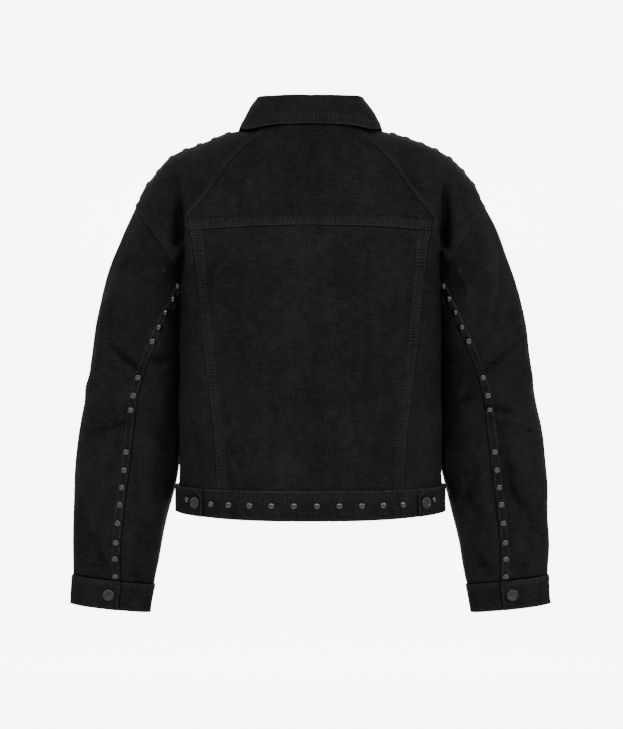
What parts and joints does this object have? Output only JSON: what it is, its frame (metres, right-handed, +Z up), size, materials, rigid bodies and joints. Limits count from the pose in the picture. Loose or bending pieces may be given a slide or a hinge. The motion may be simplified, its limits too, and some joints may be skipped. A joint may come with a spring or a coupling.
{
  "type": "denim jacket",
  "caption": "Cropped black denim jacket with dropped shoulders, turned-down collar, side tabs, and studs on the shoulders, sleeve seams and waistband.",
  "frame": {"origin": "middle of the neck ring, level with the neck points of the shoulder seams, where the jacket is held", "axes": "+Z up, the front faces -Y, +X towards the wearer's left"},
  "size_m": [0.6922, 0.2683, 0.7355],
  "materials": {
    "denim": "washed black twill, dry, worn grey along the seams",
    "hardware": "burnished gunmetal buttons"
  },
  "bodies": {
    "root": {"back_yoke": "denim", "back_panel": "denim", "back_side_L": "denim", "back_side_R": "denim", "front_L": "denim", "front_R": "denim", "placket": "denim", "collar": "denim", "sleeve_top_L": "denim", "sleeve_top_R": "denim", "sleeve_under_L": "denim", "sleeve_under_R": "denim", "cuff_L": "denim", "cuff_R": "denim", "waistband": "denim", "tab_L": "denim", "tab_R": "denim", "sleeve_stud_strip_L": "denim", "sleeve_stud_strip_R": "denim", "shoulder_stud_strip_L": "denim", "shoulder_stud_strip_R": "denim", "cuff_button_L": "hardware", "cuff_button_R": "hardware", "tab_button_L": "hardware", "tab_button_R": "hardware", "front_button_1": "hardware", "front_button_2": "hardware", "front_button_3": "hardware", "front_button_4": "hardware", "front_button_5": "hardware"}
  },
  "joints": []
}
